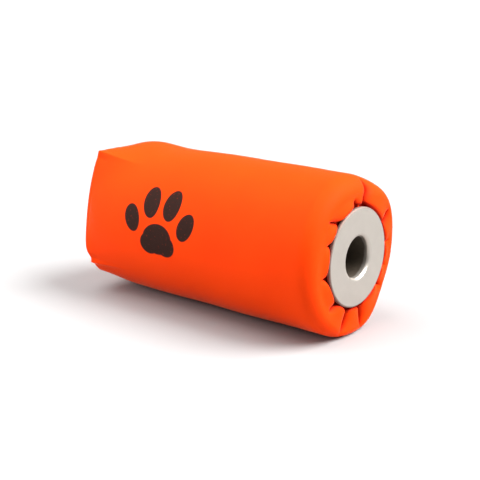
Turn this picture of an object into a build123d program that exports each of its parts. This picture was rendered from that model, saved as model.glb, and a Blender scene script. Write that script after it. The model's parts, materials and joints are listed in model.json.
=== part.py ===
from build123d import *
import os
from math import cos, pi, radians, sin, sqrt

# A launcher bumper for retrieving practice, in millimetres.  A stuffed round nylon bag lies on
# its side around a blind metal tube.  +X runs along the tube, out of its mouth, and +Z is up.
# The origin is under the middle of the bumper, on the surface that it lies on.

# ---------------------------------------------------------------- driving dimensions
overall_length = 152.4
body_diameter = 76.2
rest_flat_width = 12.0

bore_diameter = 19.2
bore_edge_radius = 1.9
tube_wall = 1.5

flange_diameter = 46.4
flange_thickness = 2.2
flange_edge_radius = 0.8
boss_diameter = 30.0
boss_length = 15.2
tube_socket_depth = 11.4

cover_thickness = 0.9
hem_thickness = 2.6
hem_gap = 0.8
front_roll_radius = 5.0
thread_thickness = 0.25

gather_cord_diameter = 1.6
backing_washer_diameter = 42.0
backing_washer_thickness = 1.6
ring_nut_diameter = 38.0
ring_nut_thickness = 5.0
ring_nut_slot_width = 4.0
ring_nut_slot_depth = 2.0
ring_nut_slots = 4
set_screw_diameter = 4.0
set_screw_length = 3.6
set_screw_inset = 3.0

padding_thickness = 3.2
end_foam_thickness = 20.0

plug_seat_depth = 0.6
plug_length = 14.0
plug_shoulder_length = 4.0
plug_pin_diameter = 3.0
plug_pin_offset = 2.2
o_ring_diameter = 1.8
o_ring_offset = 7.5
buffer_thickness = 3.0

thrust_disc_diameter = 58.0
thrust_disc_thickness = 3.0
thrust_washer_diameter = 24.0
thrust_washer_thickness = 1.6
lock_washer_diameter = 14.8
lock_washer_thickness = 2.0
lock_washer_split = 1.2
bolt_diameter = 8.0
bolt_head_width = 13.0
bolt_head_height = 5.3
bolt_engagement = 11.0
bolt_hole_spare = 1.0

# The far end is a bag bottom: its corners are boxed, which makes the round bag square there.
end_taper_length = 34.0
end_dome_height = 7.0
end_dome_scale = 0.6
end_side_bow = 4.6
end_roll = 12.0
taper_power = 3

seam_tape_width = 10.0
seam_tape_thickness = 0.5
seam_margin = 4.0
stitch_length = 2.2
stitch_pitch = 3.2
stitch_width = 0.5
stitch_row_spacing = 4.0
box_seam_length = 44.0
box_tape_setback = 1.5

pocket_clearance = 0.5
nut_clearance = 0.2

# ---------------------------------------------------------------- derived sizes
body_radius = body_diameter / 2
bore_radius = bore_diameter / 2
tube_radius = bore_radius + tube_wall
plug_radius = bore_radius + plug_seat_depth
axis_height = sqrt(body_radius**2 - (rest_flat_width / 2) ** 2)
boss_radius = boss_diameter / 2
mouth_x = overall_length / 2

# Distances behind the flange's face, along the tube.
hem_front = flange_thickness
hem_back = hem_front + hem_thickness
washer_back = hem_back + backing_washer_thickness
ring_nut_back = washer_back + ring_nut_thickness
boss_back = flange_thickness + boss_length
tube_start = boss_back - tube_socket_depth
set_screw_station = boss_back - set_screw_inset
bag_end = overall_length - thread_thickness
disc_back = bag_end - cover_thickness - end_foam_thickness
disc_front = disc_back - thrust_disc_thickness
tube_end = disc_front - plug_shoulder_length
plug_front = tube_end - plug_length
buffer_front = plug_front - buffer_thickness
corner_station = bag_end - end_dome_height
taper_start = corner_station - end_taper_length
bolt_head_front = disc_back + thrust_washer_thickness + lock_washer_thickness

# The squared end keeps the bag's girth: four sides make up the round body's circumference.
end_half_side = pi * body_diameter / 8
end_corner_radius = end_half_side * sqrt(2)
end_middle_radius = end_half_side + end_side_bow
bow_radius = (end_half_side**2 + end_side_bow**2) / (2 * end_side_bow)
bow_centre = bow_radius - end_middle_radius
eighth = 45.0
half_eighth = eighth / 2
end_quarter_radius = sqrt(bow_radius**2 - (bow_centre * sin(radians(half_eighth))) ** 2)
end_quarter_radius -= bow_centre * cos(radians(half_eighth))
near_side_angle = 180.0 - end_roll
seam_angle = near_side_angle + 5 * eighth

core_radius = body_radius - cover_thickness - padding_thickness
bore_axis = Axis((0, 0, axis_height), (1, 0, 0))
axial = Plane(origin=(mouth_x, 0, axis_height), x_dir=(-1, 0, 0), z_dir=(0, 1, 0))


def across(station, turn=0.0):
    """A plane square to the tube, a distance behind the flange's face, facing the mouth.

    Its own X points along +Y, or is turned from there towards +Z.
    """
    sideways = (0, cos(radians(turn)), sin(radians(turn)))
    return Plane(origin=(mouth_x - station, 0, axis_height), x_dir=sideways, z_dir=(1, 0, 0))


def polar(radius, angle):
    """A point in a cross-section, at an angle from +Y towards +Z."""
    return (radius * cos(radians(angle)), radius * sin(radians(angle)))


def bag_section(station, squareness, inset, scale=1.0):
    """The bag's outline: a circle at squareness 0, and the bowed square at 1."""
    middle = body_radius + (end_middle_radius - body_radius) * squareness - inset
    quarter = body_radius + (end_quarter_radius - body_radius) * squareness - inset
    corner = body_radius + (end_corner_radius - body_radius) * squareness
    corner -= inset * (1 + (sqrt(2) - 1) * squareness)
    with BuildSketch(across(station)) as section:
        with BuildLine():
            for index in range(8):
                angle = near_side_angle + index * eighth
                first, last = (middle, corner) if index % 2 == 0 else (corner, middle)
                ThreePointArc(
                    polar(first * scale, angle),
                    polar(quarter * scale, angle + half_eighth),
                    polar(last * scale, angle + eighth),
                )
        make_face()
    return section.sketch


def stuffed_bag(inset, neck_station):
    """The whole bag drawn inward by inset, with its neck's flat front at neck_station."""
    radius = body_radius - inset
    roll = front_roll_radius - inset
    front = hem_front + inset
    shoulder = (front + roll, radius - roll)
    with BuildPart() as bag:
        with BuildSketch(axial):
            with BuildLine():
                neck = Line((neck_station, 0), (neck_station, backing_washer_diameter / 2))
                web = Line(neck @ 1, (front, shoulder[1]))
                rolled = ThreePointArc(
                    web @ 1,
                    (shoulder[0] - roll * sin(pi / 4), shoulder[1] + roll * cos(pi / 4)),
                    (shoulder[0], radius),
                )
                Polyline(rolled @ 1, (taper_start, radius), (taper_start, 0), neck @ 0)
            make_face()
        revolve(axis=bore_axis)
        rim = corner_station - inset
        loft(
            sections=[
                bag_section(taper_start + (rim - taper_start) * share, share**taper_power, inset)
                for share in (0, 1 / 3, 2 / 3, 1)
            ]
        )
        loft(
            sections=[
                bag_section(rim, 1.0, inset),
                bag_section(bag_end - inset, 1.0, inset, end_dome_scale),
            ]
        )
        split(bisect_by=Plane.XY.offset(inset), keep=Keep.TOP)
    return bag.part


# ---------------------------------------------------------------- the mouth and the tube
with BuildPart() as mouth_flange:
    with BuildSketch(axial):
        with BuildLine():
            bore_edge = ThreePointArc(
                (bore_edge_radius, bore_radius),
                (bore_edge_radius * (1 - sin(pi / 4)), bore_radius + bore_edge_radius * (1 - cos(pi / 4))),
                (0, bore_radius + bore_edge_radius),
            )
            Polyline(
                bore_edge @ 1,
                (0, flange_diameter / 2),
                (flange_thickness, flange_diameter / 2),
                (flange_thickness, boss_radius),
                (boss_back, boss_radius),
                (boss_back, tube_radius),
                (tube_start, tube_radius),
                (tube_start, bore_radius),
                bore_edge @ 0,
            )
        make_face()
    revolve(axis=bore_axis)
    fillet(mouth_flange.edges().filter_by(GeomType.CIRCLE).sort_by(SortBy.RADIUS)[-2:], flange_edge_radius)
    with BuildSketch(Plane.XY.offset(axis_height)):
        with Locations((mouth_x - set_screw_station, 0)):
            Circle(set_screw_diameter / 2)
    extrude(amount=boss_diameter, both=True, mode=Mode.SUBTRACT)

with BuildPart() as launch_tube:
    with BuildSketch(across(tube_end)):
        Circle(tube_radius)
        Circle(bore_radius, mode=Mode.SUBTRACT)
    extrude(amount=tube_end - tube_start)
    with BuildSketch(across(tube_end)):
        Circle(plug_radius)
    extrude(amount=tube_end - buffer_front, mode=Mode.SUBTRACT)
    with BuildSketch(Plane.XY.offset(axis_height)):
        with Locations((mouth_x - plug_front - plug_pin_offset, 0)):
            Circle(plug_pin_diameter / 2)
    extrude(amount=tube_radius, both=True, mode=Mode.SUBTRACT)

with BuildPart() as tube_plug:
    with BuildSketch(across(tube_end)):
        Circle(plug_radius)
    extrude(amount=plug_length)
    with BuildSketch(across(disc_front)):
        Circle(tube_radius)
    extrude(amount=plug_shoulder_length)
    with BuildSketch(across(disc_front)):
        Circle(bolt_diameter / 2)
    extrude(amount=bolt_engagement + bolt_hole_spare, mode=Mode.SUBTRACT)
    with BuildSketch(across(plug_front + o_ring_offset + o_ring_diameter)):
        Circle(tube_radius)
        Circle(plug_radius - o_ring_diameter, mode=Mode.SUBTRACT)
    extrude(amount=o_ring_diameter, mode=Mode.SUBTRACT)
    with BuildSketch(Plane.XY.offset(axis_height)):
        with Locations((mouth_x - plug_front - plug_pin_offset, 0)):
            Circle(plug_pin_diameter / 2)
    extrude(amount=tube_radius, both=True, mode=Mode.SUBTRACT)

with BuildPart() as plug_pin:
    with BuildSketch(Plane.XY.offset(axis_height)):
        with Locations((mouth_x - plug_front - plug_pin_offset, 0)):
            Circle(plug_pin_diameter / 2)
    extrude(amount=tube_radius - flange_edge_radius / 2, both=True)

with BuildPart() as plug_o_ring:
    with BuildSketch(axial):
        with Locations((plug_front + o_ring_offset + o_ring_diameter / 2, plug_radius - o_ring_diameter / 2)):
            Circle(o_ring_diameter / 2)
    revolve(axis=bore_axis)

with BuildPart() as buffer_disc:
    with BuildSketch(across(plug_front)):
        Circle(plug_radius)
    extrude(amount=buffer_thickness)

# ---------------------------------------------------------------- what holds the gathered hem
cord_ring_radius = boss_radius + gather_cord_diameter / 2
hem_radius = boss_radius + gather_cord_diameter + hem_gap
with BuildPart() as gather_cord:
    with BuildSketch(axial):
        with Locations(((hem_front + hem_back) / 2, cord_ring_radius)):
            Circle(gather_cord_diameter / 2)
    revolve(axis=bore_axis)

with BuildPart() as backing_washer:
    with BuildSketch(across(washer_back)):
        Circle(backing_washer_diameter / 2)
        Circle(boss_radius, mode=Mode.SUBTRACT)
    extrude(amount=backing_washer_thickness)

with BuildPart() as ring_nut:
    with BuildSketch(across(ring_nut_back)):
        Circle(ring_nut_diameter / 2)
        Circle(boss_radius, mode=Mode.SUBTRACT)
        with PolarLocations(ring_nut_diameter / 2, ring_nut_slots):
            Rectangle(2 * ring_nut_slot_depth, ring_nut_slot_width, mode=Mode.SUBTRACT)
    extrude(amount=ring_nut_thickness)

with BuildPart() as set_screws:
    for side in (1, -1):
        with BuildSketch(Plane.XY.offset(axis_height + side * tube_radius)):
            with Locations((mouth_x - set_screw_station, 0)):
                Circle(set_screw_diameter / 2)
        extrude(amount=side * set_screw_length)

# ---------------------------------------------------------------- the push plate at the blind end
with BuildPart() as thrust_disc:
    with BuildSketch(across(disc_back)):
        Circle(thrust_disc_diameter / 2)
        Circle(bolt_diameter / 2, mode=Mode.SUBTRACT)
    extrude(amount=thrust_disc_thickness)

with BuildPart() as thrust_washer:
    with BuildSketch(across(disc_back + thrust_washer_thickness)):
        Circle(thrust_washer_diameter / 2)
        Circle(bolt_diameter / 2, mode=Mode.SUBTRACT)
    extrude(amount=thrust_washer_thickness)

with BuildPart() as lock_washer:
    with BuildSketch(across(bolt_head_front)):
        Circle(lock_washer_diameter / 2)
        Circle(bolt_diameter / 2, mode=Mode.SUBTRACT)
        with Locations((lock_washer_diameter / 2, 0)):
            Rectangle(lock_washer_diameter, lock_washer_split, mode=Mode.SUBTRACT)
    extrude(amount=lock_washer_thickness)

with BuildPart() as thrust_bolt:
    with BuildSketch(across(bolt_head_front + bolt_head_height)):
        RegularPolygon(bolt_head_width / 2, 6, major_radius=False)
    extrude(amount=bolt_head_height)
    with BuildSketch(across(bolt_head_front)):
        Circle(bolt_diameter / 2)
    extrude(amount=bolt_head_front - disc_front + bolt_engagement)

# ---------------------------------------------------------------- the nylon bag and its seams
with BuildPart() as cover:
    add(stuffed_bag(0, hem_front))
    add(stuffed_bag(cover_thickness, hem_back), mode=Mode.SUBTRACT)
    with BuildSketch(across(hem_back)):
        Circle(hem_radius)
    extrude(amount=hem_thickness, mode=Mode.SUBTRACT)

lining_radius = body_radius - cover_thickness
seam_front = hem_back + front_roll_radius
with BuildPart() as side_seam_tape:
    with BuildSketch(across(taper_start)):
        Circle(lining_radius)
        Circle(lining_radius - seam_tape_thickness, mode=Mode.SUBTRACT)
        with PolarLocations(lining_radius, 1, start_angle=seam_angle):
            Rectangle(seam_tape_width, seam_tape_width, mode=Mode.INTERSECT)
    extrude(amount=taper_start - seam_front)

with BuildPart() as side_seam_stitches:
    stitch_count = int((taper_start - seam_front) / stitch_pitch)
    for index in range(stitch_count):
        with BuildSketch(across(seam_front + (index + 1) * stitch_pitch)):
            with PolarLocations(body_radius, 1, start_angle=seam_angle):
                with GridLocations(1, stitch_row_spacing, 1, 2):
                    Rectangle(seam_tape_width, stitch_width)
            Circle(body_radius + thread_thickness, mode=Mode.INTERSECT)
            Circle(body_radius, mode=Mode.SUBTRACT)
        extrude(amount=stitch_length)

# The end seam runs up the middle of the end, from one boxed side of the bag to the other.
boxed_side_angle = near_side_angle + 2 * eighth
end_seam_length = 2 * (end_middle_radius * end_dome_scale - seam_margin)
with BuildPart() as end_seam_tape:
    with BuildSketch(across(bag_end - cover_thickness, boxed_side_angle)):
        Rectangle(end_seam_length, seam_tape_width)
    extrude(amount=seam_tape_thickness)

with BuildPart() as end_seam_stitches:
    with BuildSketch(across(bag_end + thread_thickness, boxed_side_angle)):
        with GridLocations(stitch_pitch, stitch_row_spacing, int(end_seam_length / stitch_pitch), 2):
            Rectangle(stitch_length, stitch_width)
    extrude(amount=thread_thickness)

# The two boxed seams cross the upper and the lower side of the bag, just inside its square rim.
with BuildPart() as box_seam_tapes:
    add(stuffed_bag(cover_thickness, hem_back))
    add(stuffed_bag(cover_thickness + seam_tape_thickness, hem_back), mode=Mode.SUBTRACT)
    with BuildSketch(across(corner_station - box_tape_setback, boxed_side_angle)):
        Rectangle(2 * body_diameter, box_seam_length)
    extrude(amount=seam_tape_width, mode=Mode.INTERSECT)

# ---------------------------------------------------------------- the stuffing
with BuildPart() as foam_core:
    with BuildSketch(across(disc_front)):
        Circle(core_radius)
        Circle(tube_radius, mode=Mode.SUBTRACT)
    extrude(amount=disc_front - washer_back)
    with BuildSketch(across(boss_back + nut_clearance)):
        Circle(boss_radius + nut_clearance)
    extrude(amount=boss_back, mode=Mode.SUBTRACT)
    with BuildSketch(across(ring_nut_back + nut_clearance)):
        Circle(ring_nut_diameter / 2 + nut_clearance)
    extrude(amount=ring_nut_back, mode=Mode.SUBTRACT)

with BuildPart() as padding_wrap:
    add(stuffed_bag(cover_thickness, hem_back))
    with BuildSketch(across(disc_back)):
        Circle(core_radius)
    extrude(amount=disc_back - washer_back, mode=Mode.SUBTRACT)
    with BuildSketch(across(washer_back)):
        Circle(backing_washer_diameter / 2)
    extrude(amount=washer_back, mode=Mode.SUBTRACT)
    split(bisect_by=across(disc_back), keep=Keep.TOP)
    add(side_seam_tape.part, mode=Mode.SUBTRACT)

pocket_radius = thrust_washer_diameter / 2 + pocket_clearance
with BuildPart() as foam_end_block:
    add(stuffed_bag(cover_thickness, hem_back))
    split(bisect_by=across(disc_back), keep=Keep.BOTTOM)
    with BuildSketch(across(bolt_head_front + bolt_head_height + pocket_clearance)):
        Circle(pocket_radius)
    extrude(amount=end_foam_thickness, mode=Mode.SUBTRACT)
    add(box_seam_tapes.part, mode=Mode.SUBTRACT)
    add(end_seam_tape.part, mode=Mode.SUBTRACT)

pieces = {
    "mouth_flange": mouth_flange,
    "launch_tube": launch_tube,
    "tube_plug": tube_plug,
    "plug_pin": plug_pin,
    "plug_o_ring": plug_o_ring,
    "buffer_disc": buffer_disc,
    "gather_cord": gather_cord,
    "backing_washer": backing_washer,
    "ring_nut": ring_nut,
    "set_screws": set_screws,
    "thrust_disc": thrust_disc,
    "thrust_washer": thrust_washer,
    "lock_washer": lock_washer,
    "thrust_bolt": thrust_bolt,
    "cover": cover,
    "side_seam_tape": side_seam_tape,
    "side_seam_stitches": side_seam_stitches,
    "end_seam_tape": end_seam_tape,
    "end_seam_stitches": end_seam_stitches,
    "box_seam_tapes": box_seam_tapes,
    "foam_core": foam_core,
    "padding_wrap": padding_wrap,
    "foam_end_block": foam_end_block,
}

os.makedirs("parts", exist_ok=True)
for name, piece in pieces.items():
    piece.part.label = name
    export_step(piece.part, f"parts/{name}.step")
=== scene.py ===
import json
import math

import bpy
import numpy as np
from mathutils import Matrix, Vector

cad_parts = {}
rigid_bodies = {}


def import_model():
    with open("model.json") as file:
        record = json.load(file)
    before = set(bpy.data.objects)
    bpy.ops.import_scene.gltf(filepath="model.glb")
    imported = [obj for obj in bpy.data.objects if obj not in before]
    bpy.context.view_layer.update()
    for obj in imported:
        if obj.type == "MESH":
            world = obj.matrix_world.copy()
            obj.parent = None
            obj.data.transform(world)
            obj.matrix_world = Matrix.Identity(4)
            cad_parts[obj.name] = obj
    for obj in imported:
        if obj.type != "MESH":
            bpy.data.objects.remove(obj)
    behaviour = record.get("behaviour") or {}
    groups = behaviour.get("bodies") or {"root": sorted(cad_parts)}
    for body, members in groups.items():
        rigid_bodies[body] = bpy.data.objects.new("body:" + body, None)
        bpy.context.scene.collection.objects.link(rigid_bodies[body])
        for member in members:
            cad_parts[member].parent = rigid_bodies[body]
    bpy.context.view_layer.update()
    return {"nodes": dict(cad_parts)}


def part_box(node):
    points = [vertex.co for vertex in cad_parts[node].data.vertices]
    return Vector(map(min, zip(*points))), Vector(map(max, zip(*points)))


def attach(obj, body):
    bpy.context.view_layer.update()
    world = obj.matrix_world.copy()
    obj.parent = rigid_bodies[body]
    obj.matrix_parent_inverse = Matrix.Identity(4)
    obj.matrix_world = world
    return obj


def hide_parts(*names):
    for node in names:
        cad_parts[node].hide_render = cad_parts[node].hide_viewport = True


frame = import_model()

# Lengths in this script are millimetres, and turn to metres where a mesh is made.
MM = 0.001

# ---------------------------------------------------------------- sizes, from the frame


def box_mm(node):
    """A CAD node's lowest and highest corner, in millimetres."""
    low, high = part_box(node)
    return np.array(low) / MM, np.array(high) / MM


flange_low, flange_high = box_mm("mouth_flange")
cover_low, cover_high = box_mm("cover")
core_low, core_high = box_mm("foam_core")
cord_low, cord_high = box_mm("gather_cord")
washer_low, washer_high = box_mm("backing_washer")
disc_low, _ = box_mm("thrust_disc")
bolt_low, _ = box_mm("thrust_bolt")
dish_low, dish_high = box_mm("thrust_washer")
plug_low, plug_high = box_mm("buffer_disc")

MOUTH_X = flange_high[0]
AXIS_Z = (flange_high[2] + flange_low[2]) / 2
FLANGE_R = (flange_high[1] - flange_low[1]) / 2
BODY_R = (cover_high[1] - cover_low[1]) / 2
CORE_R = (core_high[1] - core_low[1]) / 2
BAG_END = MOUTH_X - cover_low[0]
WASHER_BACK = MOUTH_X - washer_low[0]
WASHER_R = (washer_high[1] - washer_low[1]) / 2
DISC_BACK = MOUTH_X - disc_low[0]
BOLT_END = MOUTH_X - bolt_low[0]
DISH_R = (dish_high[1] - dish_low[1]) / 2
BORE_R = (plug_high[1] - plug_low[1]) / 2
CLOTH = 0.9

# Over the front, down to this station, the cover's wall is thicker than its cloth.
FRONT_WALL = 1.5
FRONT_WALL_END = 20.0

# The gathered mouth: the hem lies between the flange and the washer, outside the cord.
HEM_R = (cord_high[1] - cord_low[1]) / 2 + 0.8
HEM_STATION = 3.4
RIM_GAP = 0.5

# The square end, as in the CAD cover.
END_ROLL = 12.0
END_DOME = 7.0
END_TAPER = 34.0
END_BOW = 4.6
NEAR_SIDE = 180.0 - END_ROLL
RIM_STATION = BAG_END - END_DOME
TAPER_START = RIM_STATION - END_TAPER
HALF_SIDE = math.pi * BODY_R / 4
BOW_R = (HALF_SIDE**2 + END_BOW**2) / (2 * END_BOW)
BOW_CENTRE = BOW_R - HALF_SIDE - END_BOW
EDGE_FLATTENED = 0.8
DOME_POWER = 5
SEAM_ANGLE = NEAR_SIDE + 225.0 - 360.0
BOXED_SIDES = (NEAR_SIDE - 90.0, NEAR_SIDE + 90.0)

# ---------------------------------------------------------------- meshes from grids


def smooth(value):
    """Eases 0 to 1 with no slope at either end: 3v^2 - 2v^3."""
    value = np.clip(value, 0.0, 1.0)
    return value * value * (3.0 - 2.0 * value)


def turn_from(theta, degrees):
    """The signed angle from a bearing round the tube to theta, in degrees, from -180 to 180."""
    return (np.degrees(theta) - degrees + 180.0) % 360.0 - 180.0


def bearing(theta, degrees, spread):
    """A smooth bump, exp(-(angle / spread)^2): 1 at a bearing, fading over spread degrees either side."""
    return np.exp(-((turn_from(theta, degrees) / spread) ** 2))


def grid_mesh(name, points, poles=(False, False), ring=False, uv=None, panel_row=0, marks=None):
    """A mesh from points[row, column], closed round its columns; points[copy, row, column] makes copies.

    A first or last row that is a pole becomes one vertex with a fan of triangles, and ring joins
    the last row to the first.  uv[layout, row, column + 1] gives corners of faces, by layout 0
    before panel_row and layout 1 from there on.  Points are in millimetres.
    """
    copies = points.reshape((-1,) + points.shape[-3:])
    count, rows, columns = copies.shape[:3]
    first = 1 if poles[0] else 0
    last = rows - 1 if poles[1] else rows
    index = np.arange((last - first) * columns).reshape(-1, columns)
    walk = np.concatenate([index, index[:1]]) if ring else index
    after = np.roll(walk, -1, axis=1)
    quads = np.stack([walk[:-1], walk[1:], after[1:], after[:-1]], axis=-1).reshape(-1, 4)
    parts = [copies[:, first:last].reshape(count, -1, 3)]
    fans = []
    size = index.size
    if poles[0]:
        fans.append(np.stack([walk[0], after[0], np.full(columns, size)], axis=-1))
        parts.append(copies[:, 0, :1])
        size += 1
    if poles[1]:
        fans.append(np.stack([after[-1], walk[-1], np.full(columns, size)], axis=-1))
        parts.append(copies[:, -1, :1])
        size += 1
    shift = (np.arange(count) * size)[:, None, None]
    faces = [(quads + shift).reshape(-1, 4)] + [(fan + shift).reshape(-1, 3) for fan in fans]
    vertices = np.concatenate(parts, axis=1).reshape(-1, 3) * MM
    corners = np.concatenate([f.reshape(-1) for f in faces])
    sides = np.concatenate([np.full(len(f), f.shape[1]) for f in faces])

    mesh = bpy.data.meshes.new(name)
    mesh.vertices.add(len(vertices))
    mesh.vertices.foreach_set("co", vertices.reshape(-1).astype(np.float32))
    mesh.loops.add(len(corners))
    mesh.loops.foreach_set("vertex_index", corners.astype(np.int32))
    mesh.polygons.add(len(sides))
    mesh.polygons.foreach_set("loop_start", (np.cumsum(sides) - sides).astype(np.int32))
    mesh.polygons.foreach_set("use_smooth", np.ones(len(sides), dtype=bool))
    mesh.update(calc_edges=True)
    mesh.validate()
    if uv is not None:
        body = uv[:, first:last]
        sides = [body[:, :-1, :-1], body[:, 1:, :-1], body[:, 1:, 1:], body[:, :-1, 1:]]
        corner_uv = np.stack(sides, axis=3)
        on_panel = (np.arange(first, last - 1) >= panel_row)[:, None, None, None]
        loops = [np.where(on_panel, corner_uv[1], corner_uv[0]).reshape(-1, 2)]
        if poles[0]:
            middle = np.repeat(uv[0, 0].mean(axis=0)[None], columns, axis=0)
            loops.append(np.stack([uv[0, 1, :-1], uv[0, 1, 1:], middle], axis=1).reshape(-1, 2))
        if poles[1]:
            middle = np.repeat(uv[1, -1].mean(axis=0)[None], columns, axis=0)
            loops.append(np.stack([uv[1, -2, 1:], uv[1, -2, :-1], middle], axis=1).reshape(-1, 2))
        layer = mesh.uv_layers.new(name="cloth")
        layer.data.foreach_set("uv", np.concatenate(loops).reshape(-1).astype(np.float32))
    for title, values in (marks or {}).items():
        flat = [values[first:last].reshape(-1)]
        flat += [values[0, :1]] if poles[0] else []
        flat += [values[-1, :1]] if poles[1] else []
        attribute = mesh.attributes.new(title, "FLOAT", "POINT")
        attribute.data.foreach_set("value", np.concatenate(flat).astype(np.float32))
    piece = bpy.data.objects.new(name, mesh)
    bpy.context.scene.collection.objects.link(piece)
    return piece


def row_normals(points):
    """Outward normals of a closed grid, from its differences along rows and columns."""
    across = np.roll(points, -1, axis=1) - np.roll(points, 1, axis=1)
    down = np.gradient(points, axis=0)
    normal = np.cross(down, across)
    size = np.linalg.norm(normal, axis=-1, keepdims=True)
    return normal / np.maximum(size, 1e-9)


# ---------------------------------------------------------------- the stuffed cover

# Each gather: its bearing at the flange's edge, how far it drifts round and bends on the way, in
# degrees, then its length over the shoulder, its depth and its half-width.  Bearings run from
# +Y towards +Z.
GATHERS = np.array([
    (5.0, 0.0, 0.0, 5.5, 0.8, 0.6),
    (28.0, 5.0, 0.0, 12.0, 2.4, 0.8),
    (76.0, -3.5, -3.0, 16.0, 3.4, 0.9),
    (94.0, 2.0, 0.0, 4.0, 1.8, 0.8),
    (130.0, 8.0, 0.0, 9.0, 2.0, 0.6),
    (155.0, 2.0, 0.0, 4.5, 1.1, 0.6),
    (191.0, -2.0, 0.0, 5.0, 1.3, 0.6),
    (228.0, -4.0, 0.0, 7.5, 2.3, 0.8),
    (254.0, -1.5, 1.5, 15.0, 3.0, 0.8),
    (280.0, 0.0, 1.0, 15.0, 3.0, 0.8),
    (319.0, 2.0, 0.0, 7.0, 1.8, 0.8),
    (341.0, -2.0, 0.0, 4.5, 1.0, 0.6),
])

# How each corner of the square end is pulled: its bearing, then outwards and towards the mouth, and
# how many degrees round that reaches.
CORNERS = np.array([
    (NEAR_SIDE - 45.0, 0.4, 0.0, 16.0),
    (NEAR_SIDE + 45.0, -3.2, 1.2, 8.0),
    (NEAR_SIDE + 135.0, -0.3, 0.3, 16.0),
    (NEAR_SIDE + 225.0, 0.4, 0.0, 16.0),
])


# The grid's columns, and how strongly and over how many degrees they crowd at a gather or corner.
COLUMNS = 480
CROWDING = 2.6
CROWDED = 2.6

# The grid's rows along each stretch of the bag, from the hem to the middle of the far end.
HEM_ROWS = 4
RIM_ROWS = 12
FRONT_ROWS = 11
SHOULDER_ROWS = 35
BODY_ROWS = 23
TAPER_ROWS = 31
EDGE_ROWS = 10
END_ROWS = 26

# How far the cloth puffs out between gathers, and the dish round a gather: its depth and width as
# shares of the gather's.
PUFF = 2.2
DISH_DEPTH = 0.16
DISH_WIDTH = 4.0

# The depths of the grooves along the boxed seams, the end seam and beside the corners, and the
# pitches at which the cloth puckers along the boxed seams and the end seam.
BOX_GROOVE = 0.45
END_GROOVE = 0.3
CORNER_GROOVE = 0.5
BOX_PUCKERS = 5.2
END_PUCKERS = 6.1


def crowded_columns(count):
    """Bearings of the grid's columns, crowded where gathers and corners are.

    The running total of a density, 1 plus a bump at each of them, is cut into equal steps.
    """
    fine = np.linspace(0.0, 2 * math.pi, 7201)
    density = np.ones_like(fine)
    for degrees in np.concatenate([GATHERS[:, 0], CORNERS[:, 0]]):
        density += CROWDING * bearing(fine, degrees, CROWDED)
    total = np.concatenate([[0.0], np.cumsum((density[1:] + density[:-1]) / 2)])
    return np.interp(np.arange(count) / count * total[-1], total, fine)


def shoulder(theta):
    """How the front rolls over at each bearing: its length along and towards the tube, and its front."""
    upper = bearing(theta, 80.0, 26.0)
    right = bearing(theta, 38.0, 20.0)
    lower = bearing(theta, 268.0, 30.0)
    far = bearing(theta, 330.0, 36.0)
    along = 8.0 + 3.6 * upper - 1.6 * right - 3.4 * lower + 3.0 * far
    inward = 7.0 + 2.0 * upper - 1.4 * right - 3.0 * lower + 2.0 * far
    front = 0.5 + 0.9 * upper + 0.6 * far
    return along, inward, front


def square_radius(theta):
    """The bowed square's outline round the tube: each side is an arc of BOW_R about its own centre."""
    angle = np.radians((np.degrees(theta) - NEAR_SIDE + 45.0) % 90.0 - 45.0)
    reach = BOW_R**2 - (BOW_CENTRE * np.sin(angle)) ** 2
    return np.sqrt(reach) - BOW_CENTRE * np.cos(angle)


def lean_of_bag(theta, station):
    """Where the stuffing is slack or tight, as a push outwards.

    It is low on top behind the gathers, high on top near the end, and a little lifted below.
    """
    above = bearing(theta, 82.0, 36.0)
    below = bearing(theta, 258.0, 36.0)
    behind_mouth = 1 - smooth((station - 5.0) / 75.0)
    near_end = np.exp(-(((station - 134.0) / 16.0) ** 2))
    front = 1 - smooth((station - 6.0) / 40.0)
    lean = above * (1.7 * near_end - 1.0 * behind_mouth) - 0.15 * below * smooth((station - 60.0) / 60.0)
    return lean + front * (1.7 * bearing(theta, 293.0, 16.0) - 1.0 * bearing(theta, 4.0, 16.0))


def shares(count):
    """Even steps from 0 up to, but not reaching, 1."""
    return np.linspace(0.0, 1.0, count, endpoint=False)


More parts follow.
